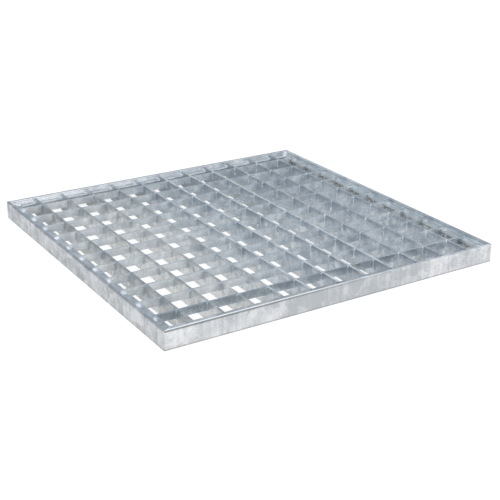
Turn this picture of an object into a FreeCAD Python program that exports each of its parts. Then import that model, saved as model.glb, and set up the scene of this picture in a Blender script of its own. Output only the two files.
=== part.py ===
import FreeCAD, Part
import math
import os
import Sketcher

# Press-locked steel grating, hot-dip galvanised: deep bearing bars run from front to back, shallow
# cross bars are pressed into their slots until they lie just under the top, and all bar ends are
# welded to the stem of a T-section frame. Millimetres, +Z up, +X along the front edge, +Y towards
# the back edge, with the origin under the middle of the panel.

SIZES = {
    # Frame of four edge bars
    "frame_length": 400.0,  # outer face of the left edge bar to outer face of the right one
    "frame_width": 400.0,  # outer face of the front edge bar to outer face of the back one
    "frame_height": 20.0,  # edge bars and bearing bars alike
    "wall_thickness": 4.0,  # upright wall of the T-section
    "stem_reach": 13.5,  # outer face of the wall to the inner edge of the stem
    "stem_thickness": 2.5,
    "stem_drop": 3.5,  # top of the wall down to the top of the stem
    "rim_radius": 1.1,  # rolled edges of the wall
    "root_radius": 1.0,  # hollow between the wall and the stem
    "corner_radius": 3.0,  # dressed outer corners of the frame, seen from above
    # Mesh of bearing bars and cross bars
    "bearing_thickness": 3.0,
    "bearing_pitch": 33.33,
    "cross_thickness": 2.0,
    "cross_depth": 8.7,
    "cross_recess": 0.4,  # top of a bearing bar down to the top of a cross bar
    "cross_pitch": 33.33,
    "cross_shift": 2.5,  # the row of cross bars lies this much nearer to the back edge
    "bar_inset": 8.0,  # outer face of the frame to the end of a bar
    "slot_clearance": 0.1,  # width of a slot over the thickness of the cross bar in it
    "notch_clearance": 0.1,  # height of an end notch over the thickness of the stem in it
    # Welds on the stem
    "end_weld_radius": 3.6,  # foot of an eight-sided lump on the stem, middle to flat
    "end_weld_crown": 2.3,  # the same at the lump's flat top
    "end_weld_lead": 0.6,  # end of a bar to the middle of its weld
    "bearing_weld_height": 1.4,  # lumps round the ends of the bearing bars
    "cross_weld_height": 2.6,  # lumps round the ends of the cross bars
    "corner_weld_length": 8.0,  # along the mitre, from the inner corner of the stems
    "corner_weld_width": 4.4,
    "corner_weld_height": 1.6,
}

# Formulas that several pieces share
STEM_TOP = "sizes.frame_height - sizes.stem_drop"
STEM_BOTTOM = f"{STEM_TOP} - sizes.stem_thickness"
CROSS_TOP = "sizes.frame_height - sizes.cross_recess"
CROSS_BOTTOM = f"{CROSS_TOP} - sizes.cross_depth"
BEARING_LENGTH = "sizes.frame_width - 2 * sizes.bar_inset"
CROSS_LENGTH = "sizes.frame_length - 2 * sizes.bar_inset"
SEAT_LENGTH = "sizes.stem_reach - sizes.bar_inset"

# Sketcher's numbers for the two axes of a sketch and the points of a line or arc; its origin is the
# start of the axis across
ACROSS_AXIS_INDEX = -1
UP_AXIS_INDEX = -2
START_INDEX = 1
END_INDEX = 2
CENTRE_INDEX = 3
ORIGIN = (ACROSS_AXIS_INDEX, START_INDEX)
EDGE_TOLERANCE = 1e-4

# Turns in degrees, counted from +X towards +Y
MITRE_TURN = 45
OUTWARD_TURN = 270


def size_sheet(doc):
    """Spreadsheet with one named cell for each driving dimension."""
    sheet = doc.addObject("Spreadsheet::Sheet", "sizes")
    for row, (name, value) in enumerate(SIZES.items(), start=1):
        sheet.set(f"A{row}", name)
        sheet.set(f"B{row}", str(value))
        sheet.setAlias(f"B{row}", name)
    doc.recompute()
    return sheet


def number(owner, formula):
    """Present value of a sheet formula."""
    return float(owner.Document.sizes.evalExpression(formula))


def bars_across(sheet, clear_size, pitch):
    """Number of bars that divide a frame into cells of about one pitch."""
    return round(sheet.get(clear_size) / sheet.get(pitch)) - 1


def row_place(index, count, pitch):
    """Formula for a bar's distance from the middle of its row."""
    return f"({index} - ({count} - 1) / 2) * sizes.{pitch}"


def origin_feature(body, role):
    return next(feature for feature in body.Origin.OriginFeatures if feature.Role == role)


def new_sketch(body, name, plane_role):
    sketch = body.newObject("Sketcher::SketchObject", name)
    sketch.AttachmentSupport = [(origin_feature(body, plane_role), "")]
    sketch.MapMode = "FlatFace"
    return sketch


def hold(sketch, geometry, point, across=None, up=None):
    """Tie a sketch point to sheet formulas, measured from the sketch's origin."""
    ways = (("DistanceX", across, UP_AXIS_INDEX), ("DistanceY", up, ACROSS_AXIS_INDEX))
    for kind, formula, zero_axis in ways:
        if formula is None:
            continue
        distance = number(sketch, formula)
        if distance == 0:
            sketch.addConstraint(Sketcher.Constraint("PointOnObject", geometry, point, zero_axis))
        else:
            index = sketch.addConstraint(Sketcher.Constraint(kind, *ORIGIN, geometry, point, distance))
            sketch.setExpression(f"Constraints[{index}]", formula)


def sketch_point(sketch, across, up):
    return FreeCAD.Vector(number(sketch, across), number(sketch, up), 0)


def chain_lines(sketch, corners):
    """Lines from corner to corner, each joined to the next; returns their numbers."""
    points = [sketch_point(sketch, *corner) for corner in corners]
    lines = [sketch.addGeometry(Part.LineSegment(*pair)) for pair in zip(points, points[1:])]
    for line, following in zip(lines, lines[1:]):
        sketch.addConstraint(Sketcher.Constraint("Coincident", line, END_INDEX, following, START_INDEX))
    return lines


def draw_polygon(sketch, corners):
    """Closed straight outline whose corners are pairs of sheet formulas."""
    lines = chain_lines(sketch, [*corners, corners[0]])
    sketch.addConstraint(Sketcher.Constraint("Coincident", lines[-1], END_INDEX, lines[0], START_INDEX))
    for line, corner in zip(lines, corners):
        hold(sketch, line, START_INDEX, *corner)


def draw_rectangle(sketch, across_low, across_high, up_low, up_high):
    draw_polygon(
        sketch,
        [(across_low, up_low), (across_high, up_low), (across_high, up_high), (across_low, up_high)],
    )


def add_pad(body, sketch, length, side="Symmetric"):
    """Extrusion of a sketch to both sides of its plane, or to One side."""
    pad = body.newObject("PartDesign::Pad", f"{body.Name}_pad")
    pad.Profile = sketch
    pad.SideType = side
    pad.setExpression("Length", length)
    return pad


def add_cut(body, sketch, side):
    """Cut right through the body; side is Symmetric, or One side for the way the sketch plane faces."""
    volume_before = body.Shape.Volume
    cut = body.newObject("PartDesign::Pocket", f"{sketch.Name}_cut")
    cut.Profile = sketch
    cut.Type = "ThroughAll"
    cut.SideType = side
    cut.Reversed = side == "One side"
    body.Document.recompute()
    if cut.Shape.Volume >= volume_before:
        raise ValueError(f"{cut.Name} takes nothing away")
    return cut


def add_mirror(body, feature, plane_role):
    mirror = body.newObject("PartDesign::Mirrored", f"{body.Name}_mirror")
    mirror.Originals = [feature]
    mirror.MirrorPlane = (origin_feature(body, plane_role), [""])
    body.Tip = mirror


def add_row(body, features, axis, count, pitch):
    """Repeat features along an axis at an even pitch."""
    row = body.newObject("PartDesign::LinearPattern", f"{body.Name}_row")
    row.Originals = features
    row.Direction = axis
    row.Occurrences = count
    row.setExpression("Length", f"({count} - 1) * sizes.{pitch}")
    body.Tip = row


def place(body, across="0", along="0", turn=0):
    """Turn a piece about Z, in degrees, and move it to its place in the panel."""
    body.Placement = FreeCAD.Placement(FreeCAD.Vector(), FreeCAD.Rotation(FreeCAD.Vector(0, 0, 1), turn))
    body.setExpression("Placement.Base.x", across)
    body.setExpression("Placement.Base.y", along)


def long_edges(shape, places):
    """Names of the straight edges along X that stand at the given (y, z) places."""
    names = []
    for index, edge in enumerate(shape.Edges, start=1):
        ends = [vertex.Point for vertex in edge.Vertexes]
        for y, z in places:
            if all(math.hypot(end.y - y, end.z - z) < EDGE_TOLERANCE for end in ends):
                names.append(f"Edge{index}")
    return names


def add_fillet(body, name, radius, corners):
    """Round the long edges at corners of the section, given as pairs of sheet formulas."""
    body.Document.recompute()
    base = body.Tip
    places = [(number(body, y), number(body, z)) for y, z in corners]
    fillet = body.newObject("PartDesign::Fillet", name)
    fillet.Base = (base, long_edges(base.Shape, places))
    fillet.setExpression("Radius", radius)
    body.Document.recompute()


def draw_corner_cut(sketch, half_length):
    """Mitre at the end of an edge bar, with the round outer corner that the dressed weld leaves."""
    arc_middle = (f"{half_length} - sizes.corner_radius", "sizes.corner_radius")
    arc_start = (arc_middle[0], "0")
    mitre_start = "sizes.corner_radius * (1 - sqrt(0.5))"
    mitre_end = "sizes.stem_reach + sizes.wall_thickness"
    corners = [
        (f"{half_length} - {mitre_start}", mitre_start),
        (f"{half_length} - ({mitre_end})", mitre_end),
        (half_length, mitre_end),
        (half_length, "0"),
        arc_start,
    ]
    circle = Part.Circle(
        sketch_point(sketch, *arc_middle),
        FreeCAD.Vector(0, 0, 1),
        number(sketch, "sizes.corner_radius"),
    )
    turns = (math.radians(OUTWARD_TURN), math.radians(OUTWARD_TURN + MITRE_TURN))
    arc = sketch.addGeometry(Part.ArcOfCircle(circle, *turns))
    lines = chain_lines(sketch, corners)
    sketch.addConstraint(Sketcher.Constraint("Coincident", arc, END_INDEX, lines[0], START_INDEX))
    sketch.addConstraint(Sketcher.Constraint("Coincident", lines[-1], END_INDEX, arc, START_INDEX))
    hold(sketch, arc, CENTRE_INDEX, *arc_middle)
    hold(sketch, arc, START_INDEX, *arc_start)
    hold(sketch, lines[0], START_INDEX, across=corners[0][0])
    for line, corner in zip(lines[1:], corners[1:]):
        hold(sketch, line, START_INDEX, *corner)


def edge_bar(doc, label, length, turn, across="0", along="0"):
    """Rolled T-section bar, wall upright and stem pointing inwards, mitred at both ends."""
    body = doc.addObject("PartDesign::Body", label)
    section = new_sketch(body, f"{label}_section", "YZ_Plane")
    wall, height = "sizes.wall_thickness", "sizes.frame_height"
    draw_polygon(
        section,
        [
            ("0", "0"),
            (wall, "0"),
            (wall, STEM_BOTTOM),
            ("sizes.stem_reach", STEM_BOTTOM),
            ("sizes.stem_reach", STEM_TOP),
            (wall, STEM_TOP),
            (wall, height),
            ("0", height),
        ],
    )
    add_pad(body, section, length)
    add_fillet(body, f"{label}_root", "sizes.root_radius", [(wall, STEM_BOTTOM), (wall, STEM_TOP)])
    rim_corners = [("0", "0"), (wall, "0"), (wall, height), ("0", height)]
    add_fillet(body, f"{label}_rim", "sizes.rim_radius", rim_corners)
    mitre = new_sketch(body, f"{label}_mitre", "XY_Plane")
    draw_corner_cut(mitre, f"{length} / 2")
    add_mirror(body, add_cut(body, mitre, "One side"), "YZ_Plane")
    place(body, across, along, turn)
    return body


def flat_bar(doc, label, plane_role, length, bottom, top, thickness):
    """Flat strip on edge, with a notch in each end that takes the stem of the frame."""
    body = doc.addObject("PartDesign::Body", label)
    side = new_sketch(body, f"{label}_side", plane_role)
    draw_rectangle(side, "0", length, bottom, top)
    add_pad(body, side, thickness)
    doc.recompute()
    notches = new_sketch(body, f"{label}_notches", plane_role)
    notch_low = f"{STEM_BOTTOM} - sizes.notch_clearance / 2"
    notch_high = f"{STEM_TOP} + sizes.notch_clearance / 2"
    draw_rectangle(notches, "0", SEAT_LENGTH, notch_low, notch_high)
    draw_rectangle(notches, f"{length} - ({SEAT_LENGTH})", length, notch_low, notch_high)
    add_cut(body, notches, "Symmetric")
    return body


def bearing_bar(doc, index, bearing_count, cross_count):
    """Full-depth bar with a row of slots in its top for the cross bars."""
    label = f"bearing_bar_{index + 1:02d}"
    top = "sizes.frame_height"
    body = flat_bar(doc, label, "YZ_Plane", BEARING_LENGTH, "0", top, "sizes.bearing_thickness")
    slot = new_sketch(body, f"{label}_slot", "YZ_Plane")
    first_cross = row_place(0, cross_count, "cross_pitch")
    middle = f"sizes.frame_width / 2 - sizes.bar_inset + sizes.cross_shift + {first_cross}"
    half_width = "(sizes.cross_thickness + sizes.slot_clearance) / 2"
    near, far = f"{middle} - {half_width}", f"{middle} + {half_width}"
    draw_rectangle(slot, near, far, CROSS_BOTTOM, top)
    cut = add_cut(body, slot, "Symmetric")
    add_row(body, [cut], (slot, ["H_Axis"]), cross_count, "cross_pitch")
    across = row_place(index, bearing_count, "bearing_pitch")
    place(body, across, "-sizes.frame_width / 2 + sizes.bar_inset")
    return body


def cross_bar(doc, index, cross_count):
    """Shallow bar that lies in the slots of all bearing bars, just under their tops."""
    label = f"cross_bar_{index + 1:02d}"
    body = flat_bar(doc, label, "XZ_Plane", CROSS_LENGTH, CROSS_BOTTOM, CROSS_TOP, "sizes.cross_thickness")
    along = f"sizes.cross_shift + {row_place(index, cross_count, 'cross_pitch')}"
    place(body, "-sizes.frame_length / 2 + sizes.bar_inset", along)
    return body


def draw_bead(sketch, half_width, height):
    """Section of a weld bead: a round cap over a chord on top of the stem."""
    radius = f"({half_width} ^ 2 + {height} ^ 2) / (2 * {height})"
    arc_radius = number(sketch, radius)
    middle = sketch_point(sketch, "0", f"{STEM_TOP} + {height} - {radius}")
    chord_angle = math.acos(number(sketch, half_width) / arc_radius)
    chord = [(f"-{half_width}", STEM_TOP), (half_width, STEM_TOP)]
    circle = Part.Circle(middle, FreeCAD.Vector(0, 0, 1), arc_radius)
    arc = sketch.addGeometry(Part.ArcOfCircle(circle, chord_angle, math.pi - chord_angle))
    (line,) = chain_lines(sketch, chord)
    sketch.addConstraint(Sketcher.Constraint("Coincident", arc, END_INDEX, line, START_INDEX))
    sketch.addConstraint(Sketcher.Constraint("Coincident", line, END_INDEX, arc, START_INDEX))
    index = sketch.addConstraint(Sketcher.Constraint("Radius", arc, arc_radius))
    sketch.setExpression(f"Constraints[{index}]", radius)
    hold(sketch, line, START_INDEX, *chord[0])
    hold(sketch, line, END_INDEX, *chord[1])


def draw_octagon(sketch, radius):
    """Eight-sided outline round the sketch's origin; radius runs from the middle to a flat."""
    half_flat = f"{radius} * (sqrt(2) - 1)"
    quarter = [(radius, half_flat), (half_flat, radius)]
    upper = quarter + [(f"-{across}", up) for across, up in reversed(quarter)]
    lower = [(across, f"-{up}") for across, up in reversed(upper)]
    draw_polygon(sketch, upper + lower)


def end_welds(doc, label, height, thickness, count, pitch, across, along, turn):
    """Row of weld lumps on the stem of one edge bar, each closed round the end of a bar."""
    body = doc.addObject("PartDesign::Body", label)
    foot = new_sketch(body, f"{label}_foot", "XY_Plane")
    foot.setExpression("AttachmentOffset.Base.z", STEM_TOP)
    draw_octagon(foot, "sizes.end_weld_radius")
    lump = add_pad(body, foot, height, "One side")
    lump.setExpression("TaperAngle", f"-atan((sizes.end_weld_radius - sizes.end_weld_crown) / {height})")
    doc.recompute()
    gap = new_sketch(body, f"{label}_gap", "XY_Plane")
    half = f"{thickness} / 2"
    draw_rectangle(gap, f"-{half}", half, "-sizes.end_weld_lead", "2 * sizes.end_weld_radius")
    cut = add_cut(body, gap, "One side")
    add_row(body, [lump, cut], (origin_feature(body, "X_Axis"), [""]), count, pitch)
    place(body, across, along, turn)
    return body


def corner_welds(doc):
    """Beads along the four mitres, on top of the stems."""
    body = doc.addObject("PartDesign::Body", "corner_welds")
    section = new_sketch(body, "corner_welds_section", "XZ_Plane")
    across_mitre = FreeCAD.Rotation(FreeCAD.Vector(0, 1, 0), 180 - MITRE_TURN)
    section.AttachmentOffset = FreeCAD.Placement(FreeCAD.Vector(), across_mitre)
    bead_inset = "(sizes.stem_reach - sizes.corner_weld_length / 2 * sqrt(0.5))"
    section.setExpression("AttachmentOffset.Base.x", f"sizes.frame_length / 2 - {bead_inset}")
    section.setExpression("AttachmentOffset.Base.z", f"{bead_inset} - sizes.frame_width / 2")
    draw_bead(section, "(sizes.corner_weld_width / 2)", "sizes.corner_weld_height")
    bead = add_pad(body, section, "sizes.corner_weld_length")
    four = body.newObject("PartDesign::MultiTransform", "corner_welds_four")
    four.Originals = [bead]
    mirrors = []
    for plane_role in ("YZ_Plane", "XZ_Plane"):
        mirror = body.newObject("PartDesign::Mirrored", f"corner_welds_{plane_role}")
        mirror.MirrorPlane = (origin_feature(body, plane_role), [""])
        mirrors.append(mirror)
    four.Transformations = mirrors
    body.Tip = four
    return body


def frame_pieces(doc):
    half_length, half_width = "sizes.frame_length / 2", "sizes.frame_width / 2"
    return [
        edge_bar(doc, "edge_bar_front", "sizes.frame_length", 0, along=f"-{half_width}"),
        edge_bar(doc, "edge_bar_back", "sizes.frame_length", 180, along=half_width),
        edge_bar(doc, "edge_bar_left", "sizes.frame_width", -90, across=f"-{half_length}"),
        edge_bar(doc, "edge_bar_right", "sizes.frame_width", 90, across=half_length),
    ]


def weld_pieces(doc, bearing_count, cross_count):
    weld_inset = "(sizes.bar_inset + sizes.end_weld_lead)"
    half_length = f"(sizes.frame_length / 2 - {weld_inset})"
    half_width = f"(sizes.frame_width / 2 - {weld_inset})"
    first_bearing = row_place(0, bearing_count, "bearing_pitch")
    last_bearing = row_place(bearing_count - 1, bearing_count, "bearing_pitch")
    first_cross = f"sizes.cross_shift + {row_place(0, cross_count, 'cross_pitch')}"
    last_cross = f"sizes.cross_shift + {row_place(cross_count - 1, cross_count, 'cross_pitch')}"
    bearing_row = ("sizes.bearing_weld_height", "sizes.bearing_thickness", bearing_count, "bearing_pitch")
    cross_row = ("sizes.cross_weld_height", "sizes.cross_thickness", cross_count, "cross_pitch")
    return [
        end_welds(doc, "end_welds_front", *bearing_row, first_bearing, f"-{half_width}", 0),
        end_welds(doc, "end_welds_back", *bearing_row, last_bearing, half_width, 180),
        end_welds(doc, "end_welds_left", *cross_row, f"-{half_length}", last_cross, -90),
        end_welds(doc, "end_welds_right", *cross_row, half_length, first_cross, 90),
        corner_welds(doc),
    ]


def check_document(doc, pieces):
    """Stop if a feature failed or a piece has no sound solid."""
    for item in doc.Objects:
        if "Invalid" in item.State or "Error" in item.State:
            raise ValueError(f"{item.Label} failed: {item.State}")
    for piece in pieces:
        if piece.Shape.isNull() or not piece.Shape.isValid() or not piece.Shape.Solids:
            raise ValueError(f"{piece.Label} has no sound solid")


def build():
    doc = FreeCAD.newDocument("grating")
    sheet = size_sheet(doc)
    bearing_count = bars_across(sheet, "frame_length", "bearing_pitch")
    cross_count = bars_across(sheet, "frame_width", "cross_pitch")
    pieces = frame_pieces(doc)
    pieces += [bearing_bar(doc, index, bearing_count, cross_count) for index in range(bearing_count)]
    pieces += [cross_bar(doc, index, cross_count) for index in range(cross_count)]
    pieces += weld_pieces(doc, bearing_count, cross_count)
    doc.recompute()
    check_document(doc, pieces)
    os.makedirs("parts", exist_ok=True)
    for piece in pieces:
        piece.Shape.exportStep(f"parts/{piece.Label}.step")


build()
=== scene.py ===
import bmesh
import bpy
import math
from collections import namedtuple
from mathutils import Matrix, Vector, noise


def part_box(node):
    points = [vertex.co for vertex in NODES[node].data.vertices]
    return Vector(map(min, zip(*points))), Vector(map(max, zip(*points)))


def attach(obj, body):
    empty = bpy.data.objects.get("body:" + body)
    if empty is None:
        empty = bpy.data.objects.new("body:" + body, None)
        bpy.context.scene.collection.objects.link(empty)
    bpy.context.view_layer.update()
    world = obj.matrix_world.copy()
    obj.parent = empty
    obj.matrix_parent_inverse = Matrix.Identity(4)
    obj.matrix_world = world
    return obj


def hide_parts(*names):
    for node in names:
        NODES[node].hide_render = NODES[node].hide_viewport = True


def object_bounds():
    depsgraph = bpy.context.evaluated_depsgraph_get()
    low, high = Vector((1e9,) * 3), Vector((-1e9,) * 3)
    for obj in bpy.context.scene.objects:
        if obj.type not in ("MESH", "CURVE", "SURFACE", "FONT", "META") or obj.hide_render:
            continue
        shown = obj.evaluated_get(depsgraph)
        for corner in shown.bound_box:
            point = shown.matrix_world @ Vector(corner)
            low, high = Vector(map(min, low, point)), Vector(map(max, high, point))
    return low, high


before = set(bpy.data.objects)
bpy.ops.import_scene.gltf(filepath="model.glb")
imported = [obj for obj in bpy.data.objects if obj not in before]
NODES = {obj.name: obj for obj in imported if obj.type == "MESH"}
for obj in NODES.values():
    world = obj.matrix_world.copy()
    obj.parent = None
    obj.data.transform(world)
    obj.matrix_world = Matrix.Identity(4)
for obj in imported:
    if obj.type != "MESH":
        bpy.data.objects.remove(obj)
CAD_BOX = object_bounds()
BEARING_BARS = sorted(name for name in NODES if name.startswith("bearing_bar"))
CROSS_BARS = sorted(name for name in NODES if name.startswith("cross_bar"))

# Levels of the panel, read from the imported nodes; all lengths are in metres
PANEL_TOP = CAD_BOX[1].z
STEM_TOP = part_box("end_welds_front")[0].z
CROSS_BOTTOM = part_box(CROSS_BARS[0])[0].z
CROSS_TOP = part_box(CROSS_BARS[0])[1].z
# Inner edge of the stems and inner face of the walls, from the middle of the square panel
STEM_EDGE = abs(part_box("edge_bar_left")[1].x)
WALL_THICKNESS = 0.004
WALL_FACE = CAD_BOX[1].x - WALL_THICKNESS
FRONT_FACE = CAD_BOX[0].y
BAR_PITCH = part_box(BEARING_BARS[1])[0].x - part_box(BEARING_BARS[0])[0].x

# Camera of the photograph
CAMERA_PLACE = Vector((-0.59646, -0.97713, 0.46152))
CAMERA_TARGET = Vector((-0.0325, -0.0781, 0.02028))
CAMERA_ROLL = 0.0049
CAMERA_LENS_MM = 77.985
SENSOR_MM = 36.0

# Rounding that the zinc gives to the edges of the bars
EDGE_BEVEL = 0.00025
BEVEL_SEGMENTS = 2
BEVEL_ANGLE = math.radians(40)
MERGE_DISTANCE = 1e-6

# Steps from seed to seed through the smooth noise that makes beads and lumps uneven
SEED_STEP = 17.3
SEED_LAYER = 0.37

# Upright beads of zinc in the corners of each crossing
FILLET_RADIUS = 0.0013
FILLET_SINK = 0.00005
FILLET_LEVELS = 7
FILLET_STEPS = 4
FILLET_SIDES = FILLET_STEPS + 2
FILLET_TOP_GAP = 0.0001
FILLET_TAIL = 0.0009
# Their share of the radius at the tail and at the top, and how fast they swell from the top down
FILLET_TAIL_SHARE = 0.25
FILLET_TOP_SHARE = 0.3
FILLET_SWELL = 4.0
FILLET_UNEVEN = 0.35
FILLET_WAVES = 2.6
# Zinc that fills the slots over the cross bars
PLUG_LEVELS = 2
PLUG_SIDES = 4
PLUG_TOP_GAP = 0.00006
PLUG_SHARE = 0.98

# Welded bar ends: rise over the stem at shares of the radius, from the middle out
LUMP_PROFILE = (
    (0.25, 0.90),
    (0.45, 0.98),
    (0.62, 1.0),
    (0.76, 0.87),
    (0.88, 0.6),
    (0.98, 0.32),
    (1.15, 0.14),
    (1.4, 0.0),
)
LUMP_MIDDLE_RISE = 0.84
LUMP_HIGHEST_RISE = 1.1
LUMP_SIDES = 28
LUMP_EDGE_GAP = 0.0002
# Which way each stem runs, and the share of the height and stretch along the stem of its lumps
STEM_WAYS = {"front": (1, 0), "back": (-1, 0), "left": (0, -1), "right": (0, 1)}
LUMP_ROWS = {"front": (0.9, 1.0), "back": (0.8, 1.0), "left": (1.0, 1.25), "right": (0.5, 1.5)}
LUMP_ROW_SEEDS = 100
# Unevenness of their outline, top, tilt and height: its share, then where it is read in the noise
LUMP_UNEVEN = 0.2
LUMP_WAVES = 1.3
LUMP_SEED_STEP = 9.1
LUMP_LAYER = 0.4
LUMP_TOP_UNEVEN = 0.12
LUMP_TOP_WAVES = 2.2
LUMP_TOP_LAYER = 3.3
LUMP_TILT = 0.22
LUMP_TILT_PLACES = (3.1, 5.7)
LUMP_HEIGHT_UNEVEN = 0.25
LUMP_HEIGHT_PLACE = 7.7

# Weld beads on the mitres
BEAD_STEPS = 30
BEAD_SIDES = 12
BEAD_LENGTH = 0.008
BEAD_WIDTH = 0.0044
BEAD_END_POWER = 4
BEAD_END_LEAST = 0.01
BEAD_RIPPLES = 7
BEAD_RIPPLE_SHARE = 0.07
BEAD_UNEVEN = 0.15
BEAD_WAVES = 4
BEAD_SEED = 50
# Their upper parts in the corners of the walls, which end under the rounded rim
WALL_BEAD_LEVELS = 5
WALL_BEAD_RADIUS = 0.0032
WALL_BEAD_TAPER = 0.5
WALL_BEAD_UNEVEN = 0.3
WALL_BEAD_WAVES = 3
WALL_BEAD_SEED = 60
RIM_RADIUS = 0.0011

# Patterns of the zinc, with scales per metre
RIPPLE_SCALE = 150.0
RIPPLE_REACH = 0.009
CRYSTAL_SCALE = 125.0
FEATHER_SCALE = 9000.0
FEATHER_SHARE = 0.1
CLOUD_SCALE = 40.0
STREAK_SCALE = 240.0
STREAK_STRETCH = (1.0, 1.0, 0.07)
GRAIN_SCALE = 1300.0
SPECK_SCALE = 260.0
SPECK_EDGE = (0.05, 0.13)
SPECK_DARKEN = (0.5, 0.0)
# Span of the patterns' level from the dark to the light tone, and how much rougher and smoother they are
TONE_SPAN = (-0.32, 0.32)
DARK_ROUGHER = 0.1
LIGHT_SMOOTHER = 0.06
# Relief of the zinc
BUMP_CLOUDS = 2.0
BUMP_GRAIN = 0.35
BUMP_TONE = 0.4
BUMP_STRENGTH = 0.22
BUMP_DISTANCE = 0.0005

# White rust: tint of the zinc's own tone, roughness, span from its left to its right share, and patches
BLOOM_TINT = (0.9, 0.89, 0.875)
BLOOM_ROUGHNESS = 0.75
BLOOM_SPAN = (-0.17, 0.1)
BLOOM_SCALE = 75.0
BLOOM_CONTRAST = 1.8
SMALL_BLOOM_SCALE = 190.0
SMALL_BLOOM_CONTRAST = 2.0
# Painted shade in corners, under the stems, at the ends of the cross bars and along edges, and scales of its
# spots
PAINTED_SHADE_COLOR = (0.17, 0.18, 0.19)
CORNER_SPOT_SCALE = 280.0
BROKEN_LINE_SCALE = 60.0
CROSS_END_SHADE_SCALE = 420.0
# Hues that multiply the tone; those of the rim, ledge and stem edge are painted light
FRONT_RIM_HUE = (1.12, 1.17, 1.2)
LEFT_LEDGE_HUE = (1.1, 1.14, 1.17)
BACK_EDGE_HUE = (1.13, 1.18, 1.22)
RIGHT_INNER_HUE = (0.99, 1.0, 0.985)
BEARING_WARM_HUE = (1.1, 1.035, 0.955)
CROSS_WARM_HUE = (1.06, 1.03, 1.01)
WARM_PATCH_SCALE = 90.0

# Spans in which a look sets in, from none to full: past a face of the frame
PAST_FADED = 0.0006
PAST_FULL = 0.0002
IN_FRAME = (WALL_FACE + PAST_FADED, WALL_FACE + PAST_FULL)
IN_FRAME_LEFT = (-WALL_FACE - PAST_FADED, -WALL_FACE - PAST_FULL)
ON_BACK_WALL = (WALL_FACE - PAST_FADED, WALL_FACE - PAST_FULL)
ON_STEM_EDGE = (STEM_EDGE + PAST_FADED, STEM_EDGE + PAST_FULL)
FRONT_RIM_INNER = (FRONT_FACE + 0.0008, FRONT_FACE + 0.0013)
# At a height over the floor
FOOT = (0.0020, 0.0007)
UNDER_STEM = (0.0142, 0.0136)
OVER_STEM = (STEM_TOP - 0.0008, STEM_TOP - 0.0003)
FRONT_RIM_TOP = (0.0180, 0.0186)
FRONT_RIM_EDGE = (0.0185, 0.0190)
LEFT_LEDGE = (0.0188, 0.0178)
RIM_TOP = (0.0186, 0.0190)
BACK_RIM_EDGE = (0.0189, 0.0193)
CROSS_BAR_TOP = (0.0190, 0.0193)
BEARING_BAR_TOP = (0.0197, 0.0199)
# Towards the middle, the left and the back of the panel
TO_MIDDLE = (-0.1, 0.0)
WARM_LEFT = (-0.02, -0.11)
FAR_PART = (0.02, 0.17)

# Sky that lights the panel: brightness from the far side, through overhead, to the near side
SKY_SIDE = (-0.25, -0.97, 0.0)
SKY_STOPS = (
    (0.0, (0.34, 0.38, 0.42)),
    (0.25, (0.56, 0.62, 0.68)),
    (0.5, (0.92, 0.98, 1.04)),
    (0.75, (1.3, 1.33, 1.36)),
    (1.0, (1.6, 1.6, 1.6)),
)
SKY_BRIGHTEST = 1.6

# Floor: its own colour, and the white glow and colour that mirror rays and the camera see
FLOOR_SIZE = 12.0
FLOOR_DROP = 0.0002
FLOOR_ALBEDO = 0.8
FLOOR_MIRRORED = (0.42, 0.5)
FLOOR_SEEN = (0.88, 0.2)

WHITE = (1.0, 1.0, 1.0, 1.0)
MIDDLE_LEVEL = 0.5
MIDDLE_COLOR = (0.5, 0.5, 0.5)
# Sockets of the mix node that belong to colours
MIX_FACTOR = 0
MIX_FIRST = 6
MIX_SECOND = 7
MIX_RESULT = 2


def new_material(name):
    material = bpy.data.materials.new(name)
    material.use_nodes = True
    material.node_tree.nodes.clear()
    return material, material.node_tree


def add_node(tree, kind, inputs=None, **settings):
    """New node with its settings, and its inputs as numbers or links, by name or number."""
    node = tree.nodes.new(kind)
    for name, value in settings.items():
        setattr(node, name, value)
    for name, value in (inputs or {}).items():
        if isinstance(value, Value):
            value = value.socket
        if isinstance(value, bpy.types.NodeSocket):
            tree.links.new(value, node.inputs[name])
        else:
            node.inputs[name].default_value = value
    return node


class Value:
    """Number that nodes work out at each point of a surface."""

    def __init__(self, tree, socket):
        self.tree = tree
        self.socket = socket

    def calc(self, operation, other=0.0):
        node = add_node(self.tree, "ShaderNodeMath", {0: self, 1: other}, operation=operation)
        return Value(self.tree, node.outputs[0])

    def __add__(self, other):
        return self.calc("ADD", other)

    def __sub__(self, other):
        return self.calc("SUBTRACT", other)

    def __mul__(self, other):
        return self.calc("MULTIPLY", other)

    def weighed(self, share):
        """Pattern around the middle level, brought to around zero with the given weight."""
        return (self - MIDDLE_LEVEL) * share

    def remap(self, span, ends=(0.0, 1.0)):
        """Even change from one end value to the other within the span, and none outside it."""
        start, stop = span
        low, high = ends
        inputs = {"Value": self, "From Min": start, "From Max": stop, "To Min": low, "To Max": high}
        return Value(self.tree, add_node(self.tree, "ShaderNodeMapRange", inputs).outputs["Result"])


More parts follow.
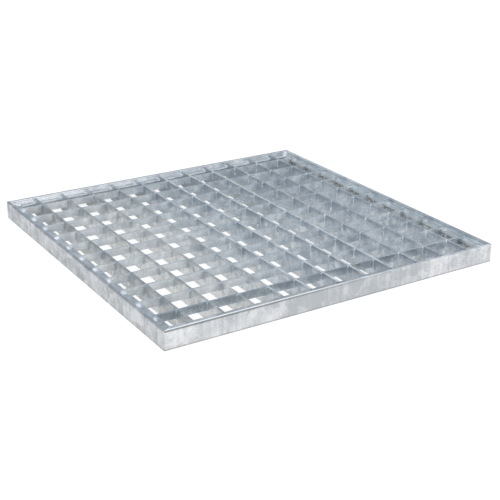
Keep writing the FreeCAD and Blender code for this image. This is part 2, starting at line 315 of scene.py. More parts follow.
class Place:
    """Where each point lies on the panel, for the nodes of one material."""

    def __init__(self, tree):
        self.tree = tree
        self.point = add_node(tree, "ShaderNodeTexCoord").outputs["Object"]

    def axis(self, name):
        return Value(self.tree, add_node(self.tree, "ShaderNodeSeparateXYZ", {0: self.point}).outputs[name])

    def across(self, span, ends=(0.0, 1.0)):
        """Value that changes from left to right."""
        return self.axis("X").remap(span, ends)

    def along(self, span, ends=(0.0, 1.0)):
        """Value that changes from front to back."""
        return self.axis("Y").remap(span, ends)

    def upward(self, span, ends=(0.0, 1.0)):
        """Value that changes with the height."""
        return self.axis("Z").remap(span, ends)

    def off(self, axis, plane):
        """Distance from a plane across one axis."""
        return (self.axis(axis) - plane).calc("ABSOLUTE")

    def noise(self, scale, detail=3.0, stretch=None):
        """Cloud pattern around the middle level; stretch multiplies the axes, so that it runs one way."""
        point = self.point
        if stretch:
            mapping = add_node(self.tree, "ShaderNodeMapping", {"Vector": point, "Scale": stretch})
            point = mapping.outputs["Vector"]
        inputs = {"Vector": point, "Scale": scale, "Detail": detail}
        return Value(self.tree, add_node(self.tree, "ShaderNodeTexNoise", inputs).outputs["Fac"])


def vector_calc(tree, operation, first, second):
    return add_node(tree, "ShaderNodeVectorMath", {0: first, 1: second}, operation=operation)


def color_mix(tree, blend, factor, first, second):
    inputs = {MIX_FACTOR: factor, MIX_FIRST: first, MIX_SECOND: second}
    node = add_node(tree, "ShaderNodeMix", inputs, data_type="RGBA", blend_type=blend)
    return node.outputs[MIX_RESULT]


def principled(tree, color, roughness, metallic, normal):
    inputs = {"Base Color": color, "Roughness": roughness, "Metallic": metallic, "Normal": normal}
    return add_node(tree, "ShaderNodeBsdfPrincipled", inputs).outputs["BSDF"]


def bent_point(place):
    """The place with ripples in it, which give crystals and specks uneven outlines."""
    tree = place.tree
    ripple = add_node(tree, "ShaderNodeTexNoise", {"Vector": place.point, "Scale": RIPPLE_SCALE})
    ripple = vector_calc(tree, "SUBTRACT", ripple.outputs["Color"], MIDDLE_COLOR).outputs["Vector"]
    ripple = add_node(tree, "ShaderNodeVectorMath", {0: ripple, "Scale": RIPPLE_REACH}, operation="SCALE")
    return vector_calc(tree, "ADD", place.point, ripple.outputs["Vector"]).outputs["Vector"]


def crystal_pattern(tree, bent):
    """Level of each crystal of the zinc, and the feathery lines that run one way through it."""
    cells = add_node(tree, "ShaderNodeTexVoronoi", {"Vector": bent, "Scale": CRYSTAL_SCALE}).outputs["Color"]
    heading = vector_calc(tree, "SUBTRACT", cells, MIDDLE_COLOR).outputs["Vector"]
    run = Value(tree, vector_calc(tree, "DOT_PRODUCT", bent, heading).outputs["Value"])
    feathers = (run * FEATHER_SCALE).calc("SINE") * FEATHER_SHARE
    level = add_node(tree, "ShaderNodeSeparateColor", {"Color": cells}).outputs["Red"]
    return Value(tree, level), feathers


def speck_pattern(tree, bent):
    """How much the dark specks take from the level."""
    specks = add_node(tree, "ShaderNodeTexVoronoi", {"Vector": bent, "Scale": SPECK_SCALE})
    return Value(tree, specks.outputs["Distance"]).remap(SPECK_EDGE, SPECK_DARKEN)


# Light and dark tone, roughness, weights of crystals, clouds, upright streaks and grain in the tone, and
# share of matt white rust at the left and right ends of the panel; the larger share at the left also
# paints the brighter light there
Tones = namedtuple("Tones", "light dark roughness weights bloom")


def zinc(name, tones, shade=None, bloom_and_painted_light=None, painted_shade=None, tint=None):
    """Hot-dip zinc: clouded crystals with feathery lines, streaks, grain, dark specks and matt white rust.

    shade adds to the tone by place, and the next argument to the share of matt white, which is white rust
    and painted light; the one after is the share of painted dark shade over both, and tint gives where the
    tone takes on a hue."""
    material, tree = new_material(name)
    place = Place(tree)
    bent = bent_point(place)
    crystals, level = crystal_pattern(tree, bent)
    clouds = place.noise(CLOUD_SCALE, detail=6.0)
    streaks = place.noise(STREAK_SCALE, detail=5.0, stretch=STREAK_STRETCH)
    grain = place.noise(GRAIN_SCALE, detail=2.0)
    for pattern, weight in zip((crystals, clouds, streaks, grain), tones.weights):
        level = level + pattern.weighed(weight)
    if shade:
        level = level + shade(place)
    level = level - speck_pattern(tree, bent)
    color = color_mix(tree, "MIX", level.remap(TONE_SPAN), (*tones.dark, 1.0), (*tones.light, 1.0))
    if tint:
        where, hue = tint(place)
        color = color_mix(tree, "MULTIPLY", where, color, (*hue, 1.0))
    white = color_mix(tree, "MULTIPLY", 1.0, color, (*BLOOM_TINT, 1.0))
    # Painted dark shade in corners, under the stems and along edges, over the metal and the matt white
    if painted_shade:
        shade_share = painted_shade(place)
        color = color_mix(tree, "MIX", shade_share, color, (*PAINTED_SHADE_COLOR, 1.0))
        white = color_mix(tree, "MIX", shade_share, white, (*PAINTED_SHADE_COLOR, 1.0))
    relief = clouds * BUMP_CLOUDS + grain * BUMP_GRAIN + level * BUMP_TONE
    inputs = {"Height": relief, "Strength": BUMP_STRENGTH, "Distance": BUMP_DISTANCE}
    normal = add_node(tree, "ShaderNodeBump", inputs).outputs["Normal"]
    rough = level.remap(TONE_SPAN, (tones.roughness + DARK_ROUGHER, tones.roughness - LIGHT_SMOOTHER))
    metal = principled(tree, color, rough, 1.0, normal)
    matt = principled(tree, white, BLOOM_ROUGHNESS, 0.0, normal)
    bloom = place.across(BLOOM_SPAN, tones.bloom)
    bloom = bloom + place.noise(BLOOM_SCALE, detail=6.0).weighed(BLOOM_CONTRAST)
    # The added share is white rust, and also painted highlights and painted light in matt white
    if bloom_and_painted_light:
        bloom = bloom + bloom_and_painted_light(place)
    surface = add_node(tree, "ShaderNodeMixShader", {0: bloom.remap((0.0, 1.0)), 1: metal, 2: matt})
    add_node(tree, "ShaderNodeOutputMaterial", {"Surface": surface.outputs[0]})
    return material


def add_piece(name, verts, faces, material, replaced=()):
    """Closed mesh of zinc or weld metal that rides on the panel."""
    mesh = bpy.data.meshes.new(name)
    mesh.from_pydata(verts, [], faces)
    solid = bmesh.new()
    solid.from_mesh(mesh)
    bmesh.ops.recalc_face_normals(solid, faces=solid.faces)
    solid.to_mesh(mesh)
    solid.free()
    mesh.materials.append(material)
    mesh.shade_smooth()
    piece = bpy.data.objects.new(name, mesh)
    bpy.context.scene.collection.objects.link(piece)
    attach(piece, "root")
    if replaced:
        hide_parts(*replaced)


def tube_faces(first, rings, sides):
    """Quads between rings of points, and a flat cap on the first and last ring."""
    faces = []
    for ring in range(rings - 1):
        start = first + ring * sides
        for side in range(sides):
            following = (side + 1) % sides
            faces.append((start + side, start + following, start + sides + following, start + sides + side))
    last = first + (rings - 1) * sides
    faces.append(tuple(range(first, first + sides)))
    faces.append(tuple(range(last, last + sides)))
    return faces


def uneven(seed, across, up=0.0):
    """Smooth number from about -1 to 1 that differs from seed to seed."""
    return noise.noise(Vector((across + SEED_STEP * seed, up, SEED_LAYER * seed)))


def fillet_ring(corner, sides, z, radius):
    """Hollow section of a bead in the corner between a bearing bar and a cross bar, or between two walls."""
    outline = [(-FILLET_SINK, -FILLET_SINK)]
    for step in range(FILLET_STEPS + 1):
        turn = math.pi / 2 * step / FILLET_STEPS
        outline.append((radius * (1 - math.sin(turn)), radius * (1 - math.cos(turn))))
    outline[1] = (radius, -FILLET_SINK)
    outline[-1] = (-FILLET_SINK, radius)
    return [(corner[0] + sides[0] * across, corner[1] + sides[1] * along, z) for across, along in outline]


def crossing_fillet(corner, sides, seed):
    """One upright bead, uneven along its height, that ends in a small drop under the cross bar."""
    levels = [(CROSS_BOTTOM - FILLET_TAIL, FILLET_TAIL_SHARE)]
    for level in range(FILLET_LEVELS):
        share = level / (FILLET_LEVELS - 1)
        z = CROSS_BOTTOM + share * (CROSS_TOP - FILLET_TOP_GAP - CROSS_BOTTOM)
        taper = min(1.0, FILLET_TOP_SHARE + FILLET_SWELL * (1.0 - share))
        levels.append((z, taper * (1.0 + FILLET_UNEVEN * uneven(seed, FILLET_WAVES * share))))
    rings = [fillet_ring(corner, sides, z, FILLET_RADIUS * swell) for z, swell in levels]
    return [point for ring in rings for point in ring]


def slot_plug(low, high, near, far):
    """Zinc that fills the slot of a bearing bar over the top of the cross bar in it."""
    middle_x = (low.x + high.x) / 2
    middle_y = (near.y + far.y) / 2
    half_x = PLUG_SHARE * (high.x - low.x) / 2
    half_y = PLUG_SHARE * (far.y - near.y) / 2
    corners = [(-half_x, -half_y), (half_x, -half_y), (half_x, half_y), (-half_x, half_y)]
    levels = (CROSS_TOP - FILLET_SINK, PANEL_TOP - PLUG_TOP_GAP)
    return [(middle_x + x, middle_y + y, z) for z in levels for x, y in corners]


def add_crossing_fillets(material):
    """Zinc in the four corners and the slot of every crossing, one piece for each bearing bar."""
    quarters = ((-1, -1), (-1, 1), (1, -1), (1, 1))
    for column, bearing in enumerate(BEARING_BARS):
        low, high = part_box(bearing)
        verts, faces = [], []
        for row, cross in enumerate(CROSS_BARS):
            near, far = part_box(cross)
            for quarter, sides in enumerate(quarters):
                corner = (high.x if sides[0] > 0 else low.x, far.y if sides[1] > 0 else near.y)
                seed = quarter + len(quarters) * (row + len(CROSS_BARS) * column)
                faces += tube_faces(len(verts), FILLET_LEVELS + 1, FILLET_SIDES)
                verts += crossing_fillet(corner, sides, seed)
            faces += tube_faces(len(verts), PLUG_LEVELS, PLUG_SIDES)
            verts += slot_plug(low, high, near, far)
        add_piece(f"zinc_fillets_{column + 1:02d}", verts, faces, material)


def weld_lump(middle, radius, height, along, stretch, inner, seed):
    """Collar of steel squeezed up round the end of a bar, with a dimple in its top and a skirt of zinc.

    along is the way the stem runs; the lump stops at the stem's inner edge, inner away from its middle."""
    inward = Vector((-along.y, along.x, 0.0))
    tilt_x, tilt_y = (LUMP_TILT * uneven(seed, across) for across in LUMP_TILT_PLACES)
    verts = []
    for share, rise in LUMP_PROFILE:
        for side in range(LUMP_SIDES):
            turn = 2 * math.pi * side / LUMP_SIDES
            x, y = math.cos(turn), math.sin(turn)
            spot = Vector((LUMP_WAVES * x + LUMP_SEED_STEP * seed, LUMP_WAVES * y, LUMP_LAYER))
            reach = radius * share * (1 + LUMP_UNEVEN * noise.noise(spot))
            spot = Vector((LUMP_TOP_WAVES * x * share, LUMP_TOP_WAVES * y * share, LUMP_TOP_LAYER * seed))
            lift = rise * (1 + LUMP_TOP_UNEVEN * noise.noise(spot))
            lift = min(lift * (1 + (tilt_x * x + tilt_y * y) * share), LUMP_HIGHEST_RISE)
            place = middle + along * (stretch * reach * x) + inward * min(reach * y, inner)
            verts.append((place.x, place.y, STEM_TOP + height * lift))
    # A fan of triangles over the dimple takes the place of the cap on the first ring
    *faces, top_cap, foot_cap = tube_faces(0, len(LUMP_PROFILE), LUMP_SIDES)
    dimple = len(verts)
    verts.append((middle.x, middle.y, STEM_TOP + height * LUMP_MIDDLE_RISE))
    faces += [(side, (side + 1) % LUMP_SIDES, dimple) for side in top_cap]
    faces.append(foot_cap)
    return verts, faces


def add_end_welds(material):
    """Rows of welded bar ends on the four stems, in the places of the solid lumps."""
    for index, (side, way) in enumerate(STEM_WAYS.items()):
        node = f"end_welds_{side}"
        low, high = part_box(node)
        bars, run, over = (BEARING_BARS, 0, 1) if way[0] else (CROSS_BARS, 1, 0)
        along = Vector((*way, 0.0))
        share, stretch = LUMP_ROWS[side]
        tallest = high.z - low.z
        radius = (high[over] - low[over]) / 2
        middle = (low + high) / 2
        inner = abs(middle[over]) - STEM_EDGE - LUMP_EDGE_GAP
        verts, faces = [], []
        for row, bar in enumerate(bars):
            bar_low, bar_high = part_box(bar)
            middle[run] = (bar_low[run] + bar_high[run]) / 2
            height = share * tallest * (1 + LUMP_HEIGHT_UNEVEN * uneven(row, LUMP_HEIGHT_PLACE, index))
            height = min(height, tallest)
            seed = LUMP_ROW_SEEDS * index + row
            points, polygons = weld_lump(middle, radius, height, along, stretch, inner, seed)
            faces += [tuple(len(verts) + corner for corner in polygon) for polygon in polygons]
            verts += points
        add_piece(f"bar_end_welds_{side}", verts, faces, material, [node])


def mitre_bead(inner, outward, height, seed):
    """Rippled bead from the inner corner of two stems out along their mitre."""
    across = Vector((-outward.y, outward.x, 0.0))
    verts = []
    for step in range(BEAD_STEPS + 1):
        share = step / BEAD_STEPS
        end = math.sqrt(max(1 - (2 * share - 1) ** BEAD_END_POWER, BEAD_END_LEAST))
        ripple = 1 + BEAD_RIPPLE_SHARE * math.sin(2 * math.pi * BEAD_RIPPLES * share)
        ripple += BEAD_UNEVEN * uneven(seed, BEAD_WAVES * share)
        middle = inner + outward * (BEAD_LENGTH * share)
        for side in range(BEAD_SIDES):
            turn = math.pi * side / (BEAD_SIDES - 1)
            offset = across * (BEAD_WIDTH / 2 * math.cos(turn) * end * ripple)
            rise = height * math.sin(turn) * end * ripple
            verts.append((middle.x + offset.x, middle.y + offset.y, STEM_TOP + rise))
    return verts


def wall_bead(side_x, side_y, seed):
    """Bead that thins out up the corner of two walls."""
    verts = []
    for level in range(WALL_BEAD_LEVELS):
        share = level / (WALL_BEAD_LEVELS - 1)
        z = STEM_TOP - FILLET_SINK + share * (PANEL_TOP - RIM_RADIUS - STEM_TOP)
        swell = 1 + WALL_BEAD_UNEVEN * uneven(seed, WALL_BEAD_WAVES * share)
        radius = WALL_BEAD_RADIUS * (1 - WALL_BEAD_TAPER * share) * swell
        verts += fillet_ring((side_x * WALL_FACE, side_y * WALL_FACE), (-side_x, -side_y), z, radius)
    return verts


def add_corner_welds(material):
    """Beads on the four mitres, in the places of the solid ones, each turned up the corner of the walls."""
    low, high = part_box("corner_welds")
    verts, faces = [], []
    for index, (side_x, side_y) in enumerate(((-1, -1), (1, -1), (1, 1), (-1, 1))):
        outward = Vector((side_x, side_y, 0.0)).normalized()
        inner = Vector((side_x * STEM_EDGE, side_y * STEM_EDGE, 0.0))
        faces += tube_faces(len(verts), BEAD_STEPS + 1, BEAD_SIDES)
        verts += mitre_bead(inner, outward, high.z - low.z, BEAD_SEED + index)
        faces += tube_faces(len(verts), WALL_BEAD_LEVELS, FILLET_SIDES)
        verts += wall_bead(side_x, side_y, WALL_BEAD_SEED + index)
    add_piece("mitre_welds", verts, faces, material, ["corner_welds"])


def soften_edges(piece):
    """Join the faces that the import left apart and round the sharp edges, as a coat of zinc does."""
    join = piece.modifiers.new("join", "WELD")
    join.merge_threshold = MERGE_DISTANCE
    bevel = piece.modifiers.new("round", "BEVEL")
    bevel.width = EDGE_BEVEL
    bevel.segments = BEVEL_SEGMENTS
    bevel.limit_method = "ANGLE"
    bevel.angle_limit = BEVEL_ANGLE
    bevel.harden_normals = True


# Looks by place, many of them painted light and shade. In the functions below, the first pair of numbers
# is a span of places, distances or noise, and the second the change of tone, white rust, painted shade or
# hue at its two ends.


def inside(place, axis):
    """One inside the frame, zero on the outer faces of its back and right bars."""
    return place.axis(axis).remap(IN_FRAME)


def stem_edge(place, axis):
    """One on the inner edge of the back or right stem."""
    return place.axis(axis).remap(ON_STEM_EDGE)


def under_stem_painted_shade(place, axis, share):
    """Mottled painted shade in the corner under a stem."""
    spots = place.noise(CORNER_SPOT_SCALE).remap((0.4, 0.56), (0.0, share))
    return spots * inside(place, axis) * place.upward(UNDER_STEM)


def root_painted_shade(place, axis, share):
    """Painted shade in the corner between the ledge and the wall of the back or right bar."""
    corner = place.off(axis, WALL_FACE).calc("MAXIMUM", place.off("Z", STEM_TOP))
    return corner.remap((0.0004, 0.0013), (share, 0.0))


def foot_painted_shadow(place):
    """Painted shadow along the bottom edge of the frame, where it meets the floor."""
    return place.upward(FOOT, (0.0, 0.65))


def front_rim(place):
    """One on the front bar's rim, apart from its outer edge: where its highlight is painted."""
    return place.along(FRONT_RIM_INNER) * place.upward(FRONT_RIM_TOP)


def front_shade(place):
    """The front bar is duller in its middle third and has a painted highlight on its rim, most at the left.
    """
    dull = place.off("X", -0.01).remap((0.05, 0.13), (-0.26, 0.0))
    return dull + front_rim(place) * place.across((-0.1, 0.1), (1.15, 0.1))


def front_painted_highlight(place):
    """Painted highlight on the rim in matt white, most at the left."""
    return front_rim(place) * place.across((-0.12, 0.12), (1.6, 0.5))


def front_painted_shade(place):
    """Painted shadow along the bottom, and painted shade along the outer edge of the rim, most at the left.
    """
    edge = place.along(FRONT_RIM_INNER, (1.0, 0.0)) * place.upward(FRONT_RIM_EDGE)
    return edge * place.across((-0.1, 0.08), (0.85, 0.12)) + foot_painted_shadow(place)


def front_tint(place):
    """The painted highlight makes the rim lighter and bluer than the outer face, most at the left."""
    return front_rim(place) * place.across((-0.12, 0.0), (1.0, 0.35)), FRONT_RIM_HUE


def left_shade(place):
    """The left bar is duller at the back, and so is the middle of its rim."""
    rim = place.off("Y", 0.0).remap((0.03, 0.1), (-0.1, 0.0)) * place.upward(RIM_TOP)
    return rim + place.along((0.05, 0.19), (0.0, -0.08))


def left_tint(place):
    """The ledge of the left bar is lighter and bluer than its outer face, painted light from the sky over
    it.
    """
    return place.across(IN_FRAME_LEFT) * place.upward(LEFT_LEDGE), LEFT_LEDGE_HUE


def back_shade(place):
    """The back bar's ledge is light near the wall, most at the left, with a dull line near its inner edge.

    The wall over it is duller at the right, its rim is light outside, the corner under it is darkened with
    painted shade, and the edge of the stem is lightest, with painted light."""
    to_right = (-0.12, 0.14)
    wall = place.along(ON_BACK_WALL) * place.across(to_right, (0.0, -0.25))
    root = place.along((WALL_FACE - 0.0045, WALL_FACE - 0.0015)) * place.across(to_right, (0.32, 0.06))
    line = place.off("Y", STEM_EDGE + 0.0022).remap((0.0006, 0.0020), (-0.14, 0.0))
    above = place.upward(OVER_STEM) * (wall + root + line)
    below = place.upward(UNDER_STEM, (0.0, -0.12))
    rim = place.along((WALL_FACE + 0.0010, WALL_FACE + 0.0016), (0.0, 0.5)) * place.upward(RIM_TOP)
    return inside(place, "Y") * (above + below) + rim + stem_edge(place, "Y") * 0.8


def back_edge_painted_light(place):
    """Painted light on the edge of the stem, in matt white."""
    return stem_edge(place, "Y") * 0.75


def back_painted_shade(place):
    """Painted shade under the stem, in the corner over it, on the rim and in a line low on the stem's edge.
    """
    broken = place.noise(BROKEN_LINE_SCALE).remap((0.38, 0.56), (0.4, 0.8))
    line = place.off("Z", STEM_TOP - 0.0025).remap((0.0007, 0.0011), (1.0, 0.0))
    line = line * broken * stem_edge(place, "Y")
    rim = place.off("Y", WALL_FACE + 0.0004).remap((0.0004, 0.0008), (0.2, 0.0))
    rim = rim * place.upward(BACK_RIM_EDGE)
    return root_painted_shade(place, "Y", 0.22) + line + rim + under_stem_painted_shade(place, "Y", 0.25)


def back_tint(place):
    """The edge of the stem is lighter and bluer: painted light."""
    return stem_edge(place, "Y"), BACK_EDGE_HUE


def right_shade(place):
    """The right bar's ledge is light, its stem's edge more so with painted light; its rim is lighter at the
    back.

    The wall's foot is light with a line of painted shade over it, and painted shade lies under the stem."""
    ledge = place.across((WALL_FACE - 0.0002, WALL_FACE - 0.0015), (0.0, 0.12))
    edge = stem_edge(place, "X") * 0.4
    rim = place.upward(RIM_TOP) * place.along((-0.15, 0.15), (-0.3, 0.5))
    foot = place.upward(OVER_STEM) * place.upward((STEM_TOP + 0.0012, STEM_TOP + 0.0003), (0.0, 0.27))
    line = place.off("Z", 0.0184).remap((0.0006, 0.0014), (-0.2, 0.0))
    below = place.upward(UNDER_STEM, (0.0, -0.16))
    return ledge + edge + rim + (foot + line + below) * inside(place, "X")


def right_edge_painted_light(place):
    """Painted light on the edge of the stem, in matt white."""
    return stem_edge(place, "X") * 0.35


def right_painted_shade(place):
    """Painted shade under the stem and in the corner between ledge and wall."""
    return root_painted_shade(place, "X", 0.1) + under_stem_painted_shade(place, "X", 0.66)


def right_tint(place):
    """The inner side is a little greener than the outer face."""
    return inside(place, "X"), RIGHT_INNER_HUE


def bearing_top(place):
    """One along the middle of the tops of the bearing bars, where their highlight is painted."""
    off_bar = place.axis("X").calc("PINGPONG", BAR_PITCH / 2)
    return place.upward(BEARING_BAR_TOP) * off_bar.remap((0.0011, 0.0014), (1.0, 0.0))


def bearing_shade(place):
    """The bearing bars' tops have a painted highlight, most in the middle; the left ones are lighter below.

    That lighter part below is a painted reflection of the floor. All are darker at the back with painted
    shade, most low down in the middle there, and the first one is dull. A strip of painted shade lies under
    the tops, apart from the left ones, which are light a little lower."""
    bright = place.across((-0.12, -0.01), (-0.22, 1.05)) + place.across((0.05, 0.15), (0.0, -0.75))
    top_highlight = bearing_top(place) * (bright + place.along((0.12, 0.18), (0.0, 0.5)))
    dull = place.off("X", 0.0).remap((0.05, 0.1), (-0.35, -0.23)) * place.along((0.05, 0.17))
    low = place.upward((0.013, 0.007)) * (place.across((-0.12, 0.02), (0.3, 0.0)) + dull)
    fade = place.across((-0.13, 0.0), (0.16, -0.1))
    first = place.across((-0.16, -0.14), (-0.22, 0.0))
    far = place.along(FAR_PART) * place.across(TO_MIDDLE, (-0.3, -0.14))
    strip = place.off("Z", 0.0188).remap((0.0006, 0.0018), (-0.13, 0.04)) * place.across((-0.1, -0.02))
    upper = place.off("Z", 0.0155).remap((0.0015, 0.003), (1.0, 0.0))
    upper = upper * place.across((-0.12, -0.04), (0.1, 0.0))
    return top_highlight + low + fade + first + far + strip + upper


def bearing_painted_highlight_and_rust(place):
    """Painted highlight in matt white on the middle tops, and white rust in small patches at the left."""
    middle = place.off("X", 0.02).remap((0.03, 0.09), (0.42, 0.0))
    patches = place.noise(SMALL_BLOOM_SCALE, detail=4.0).weighed(SMALL_BLOOM_CONTRAST)
    return bearing_top(place) * middle + patches * place.across((-0.12, 0.0), (1.0, 0.0))


def bearing_tint(place):
    """The left bars are warmer, and so are patches near the bottom of all, a painted warm reflection."""
    patches = place.noise(WARM_PATCH_SCALE).remap((0.48, 0.62))
    low = place.upward((0.012, 0.007), (0.0, 0.8)) * patches
    return place.across(WARM_LEFT, (0.0, 0.7)).calc("MAXIMUM", low), BEARING_WARM_HUE


def cross_shade(place):
    """The tops of the cross bars are darkened with painted shade.

    Lighter at the right, darker at the back with painted shade, and duller at the front apart from the left."""
    far = place.along(FAR_PART, (0.0, -0.08))
    near = place.along((-0.15, -0.03), (-0.11, 0.0)) * place.across(TO_MIDDLE)
    right = place.across((0.0, 0.14), (0.0, 0.2))
    return far + near + right + place.upward(CROSS_BAR_TOP, (0.0, -0.48))


def cross_end_painted_shade(place):
    """Mottled painted shade at the right ends, under the right stem."""
    spots = place.noise(CROSS_END_SHADE_SCALE).remap((0.38, 0.6), (0.1, 0.6))
    return place.across((0.180, 0.186)) * spots


def cross_tint(place):
    """The cross bars are warmer towards the left."""
    return place.across(WARM_LEFT), CROSS_WARM_HUE


def first_shade(place):
    """The first cross bar, in zinc painted darker as shade from the front bar, is lighter towards the right.
    """
    return cross_shade(place) + place.across(TO_MIDDLE, (-0.1, 0.5))


def fillet_shade(place):
    """The beads of zinc at the crossings are darker at the left, painted shade."""
    return place.across((-0.1, 0.05), (-0.35, 0.05))


def weld_shade(place):
    """The welds are dullest at the right and lightest at the back."""
    right = place.across((0.16, 0.18), (0.0, -0.25))
    front = place.along((-0.19, -0.18), (-0.12, 0.0))
    return right + front + place.along((0.17, 0.18), (0.0, 0.2))


def mitre_shade(place):
    """The beads on the mitres are dull at the front and light at the back."""
    return place.along((-0.1, 0.1), (-0.5, 0.2))


def mitre_bloom(place):
    """White rust on the beads at the back."""
    return place.along((-0.1, 0.1), (0.0, 0.6))


FRONT_ZINC = Tones((0.915, 0.91, 0.915), (0.53, 0.55, 0.57), 0.32, (0.3, 1.1, 0.8, 0.6), (0.3, 0.2))
BACK_ZINC = Tones((0.84, 0.855, 0.88), (0.48, 0.51, 0.54), 0.32, (0.3, 0.9, 0.6, 0.15), (0.1, 0.05))
LEFT_ZINC = Tones((0.83, 0.83, 0.835), (0.47, 0.485, 0.50), 0.34, (0.4, 1.25, 0.6, 0.5), (0.0, 0.0))
RIGHT_ZINC = Tones((0.85, 0.88, 0.905), (0.505, 0.55, 0.59), 0.34, (0.35, 1.1, 0.5, 0.15), (0.0, 0.0))
BEARING_ZINC = Tones((0.80, 0.84, 0.88), (0.44, 0.49, 0.54), 0.30, (0.35, 1.1, 0.6, 0.15), (0.25, 0.0))
CROSS_ZINC = Tones((0.88, 0.93, 0.97), (0.52, 0.58, 0.63), 0.24, (0.3, 0.8, 0.5, 0.15), (0.8, 0.3))
# The first cross bar's zinc is darker and without white rust: painted shade from the front bar
FIRST_CROSS_SHADED_ZINC = Tones((0.80, 0.87, 0.92), (0.48, 0.55, 0.61), 0.24, (0.3, 0.9, 0.5, 0.15), (0.0, 0.0))
FILLET_ZINC = Tones((0.86, 0.91, 0.95), (0.52, 0.57, 0.62), 0.26, (0.3, 0.8, 0.3, 0.15), (0.2, 0.15))
WELD_ZINC = Tones((0.88, 0.92, 0.96), (0.56, 0.60, 0.65), 0.38, (0.3, 0.9, 0.1, 0.3), (0.25, 0.1))
MITRE_ZINC = Tones((0.92, 0.95, 0.98), (0.62, 0.66, 0.70), 0.30, (0.1, 0.4, 0.1, 0.2), (0.0, 0.0))


def dress(piece, material):
    piece.data.materials.clear()
    piece.data.materials.append(material)


def dress_nodes():
    """Zinc on the bars of the frame and the mesh, which keep the shapes of their nodes."""
    frame_zinc = {
        "edge_bar_front": zinc("front_zinc", FRONT_ZINC, front_shade, front_painted_highlight, front_painted_shade, front_tint),
        "edge_bar_back": zinc("back_zinc", BACK_ZINC, back_shade, back_edge_painted_light, back_painted_shade, back_tint),
        "edge_bar_left": zinc("left_zinc", LEFT_ZINC, left_shade, painted_shade=foot_painted_shadow, tint=left_tint),
        "edge_bar_right": zinc("right_zinc", RIGHT_ZINC, right_shade, right_edge_painted_light, right_painted_shade, right_tint),
    }
    bearing_zinc = zinc("bearing_zinc", BEARING_ZINC, bearing_shade, bearing_painted_highlight_and_rust, tint=bearing_tint)
    cross_zinc = zinc("cross_zinc", CROSS_ZINC, cross_shade, painted_shade=cross_end_painted_shade, tint=cross_tint)
    first_shaded_zinc = zinc("first_cross_shaded_zinc", FIRST_CROSS_SHADED_ZINC, first_shade, painted_shade=cross_end_painted_shade)
    for name, material in frame_zinc.items():
        dress(NODES[name], material)
    for name in BEARING_BARS:
        dress(NODES[name], bearing_zinc)
    for name in CROSS_BARS:
        dress(NODES[name], first_shaded_zinc if name == CROSS_BARS[0] else cross_zinc)
    for name in BEARING_BARS + CROSS_BARS:
        soften_edges(NODES[name])


def diffuse(tree, albedo):
    return add_node(tree, "ShaderNodeBsdfDiffuse", {"Color": (albedo, albedo, albedo, 1.0)}).outputs[0]


def shown_floor(tree, glow, albedo):
    """Floor as rays see it: some white of its own over a plain surface that takes the shadow."""
    white = add_node(tree, "ShaderNodeEmission", {"Color": WHITE, "Strength": glow}).outputs[0]
    return add_node(tree, "ShaderNodeAddShader", {0: white, 1: diffuse(tree, albedo)}).outputs[0]


def floor_material():
    """Pale floor that looks white, keeps the panel's shadow and shows in the metal."""
    material, tree = new_material("studio_floor")
    path = add_node(tree, "ShaderNodeLightPath").outputs
    mirrored = Value(tree, path["Is Glossy Ray"]).calc("MAXIMUM", path["Is Transmission Ray"])
    inputs = {0: mirrored, 1: diffuse(tree, FLOOR_ALBEDO), 2: shown_floor(tree, *FLOOR_MIRRORED)}
    lit = add_node(tree, "ShaderNodeMixShader", inputs).outputs[0]
    inputs = {0: path["Is Camera Ray"], 1: lit, 2: shown_floor(tree, *FLOOR_SEEN)}
    surface = add_node(tree, "ShaderNodeMixShader", inputs).outputs[0]
    add_node(tree, "ShaderNodeOutputMaterial", {"Surface": surface})
    return material


def add_floor():
    """Square floor just under the panel."""
    mesh = bpy.data.meshes.new("floor")
    half = FLOOR_SIZE / 2
    corners = [(x, y, -FLOOR_DROP) for x, y in ((-half, -half), (half, -half), (half, half), (-half, half))]
    mesh.from_pydata(corners, [], [(0, 1, 2, 3)])
    floor = bpy.data.objects.new("floor", mesh)
    bpy.context.scene.collection.objects.link(floor)
    mesh.materials.append(floor_material())


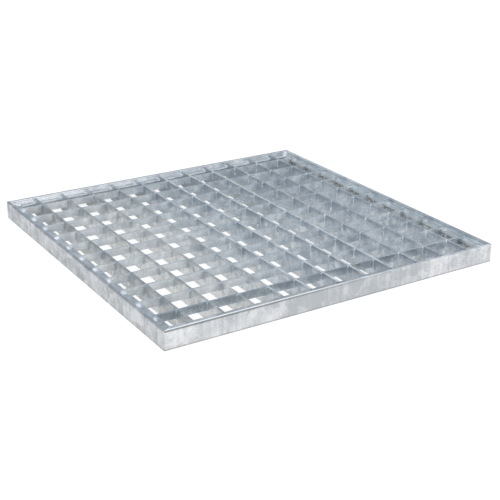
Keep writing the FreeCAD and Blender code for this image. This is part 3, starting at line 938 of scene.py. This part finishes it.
def add_world():
    """White behind the object, and a soft sky that only lights it, brightest on the near side."""
    world = bpy.data.worlds.new("studio")
    bpy.context.scene.world = world
    world.use_nodes = True
    tree = world.node_tree
    tree.nodes.clear()
    direction = add_node(tree, "ShaderNodeTexCoord").outputs["Generated"]
    side = Value(tree, vector_calc(tree, "DOT_PRODUCT", direction, SKY_SIDE).outputs["Value"])
    ramp = add_node(tree, "ShaderNodeValToRGB", {"Fac": side.remap((-1.0, 1.0))})
    stops = ramp.color_ramp.elements
    while len(stops) < len(SKY_STOPS):
        stops.new(0.5)
    for stop, (position, color) in zip(stops, SKY_STOPS):
        stop.position = position
        stop.color = (*(level / SKY_BRIGHTEST for level in color), 1.0)
    sky = add_node(tree, "ShaderNodeBackground", {"Color": ramp.outputs["Color"], "Strength": SKY_BRIGHTEST})
    white = add_node(tree, "ShaderNodeBackground", {"Color": WHITE, "Strength": 1.0})
    camera = add_node(tree, "ShaderNodeLightPath").outputs["Is Camera Ray"]
    mix = add_node(tree, "ShaderNodeMixShader", {0: camera, 1: sky.outputs[0], 2: white.outputs[0]})
    add_node(tree, "ShaderNodeOutputWorld", {"Surface": mix.outputs[0]})


def add_camera():
    """Camera at the photograph's place."""
    data = bpy.data.cameras.new("camera")
    data.lens = CAMERA_LENS_MM
    data.sensor_width = SENSOR_MM
    camera = bpy.data.objects.new("camera", data)
    bpy.context.scene.collection.objects.link(camera)
    aim = (CAMERA_TARGET - CAMERA_PLACE).to_track_quat("-Z", "Y").to_matrix()
    turn = aim @ Matrix.Rotation(CAMERA_ROLL, 3, "Z")
    camera.matrix_world = Matrix.Translation(CAMERA_PLACE) @ turn.to_4x4()
    bpy.context.scene.camera = camera


dress_nodes()
add_crossing_fillets(zinc("fillet_zinc", FILLET_ZINC, fillet_shade))
add_end_welds(zinc("weld_zinc", WELD_ZINC, weld_shade))
add_corner_welds(zinc("mitre_zinc", MITRE_ZINC, mitre_shade, mitre_bloom))
add_floor()
add_world()
add_camera()

bpy.context.scene.view_settings.view_transform = "Standard"
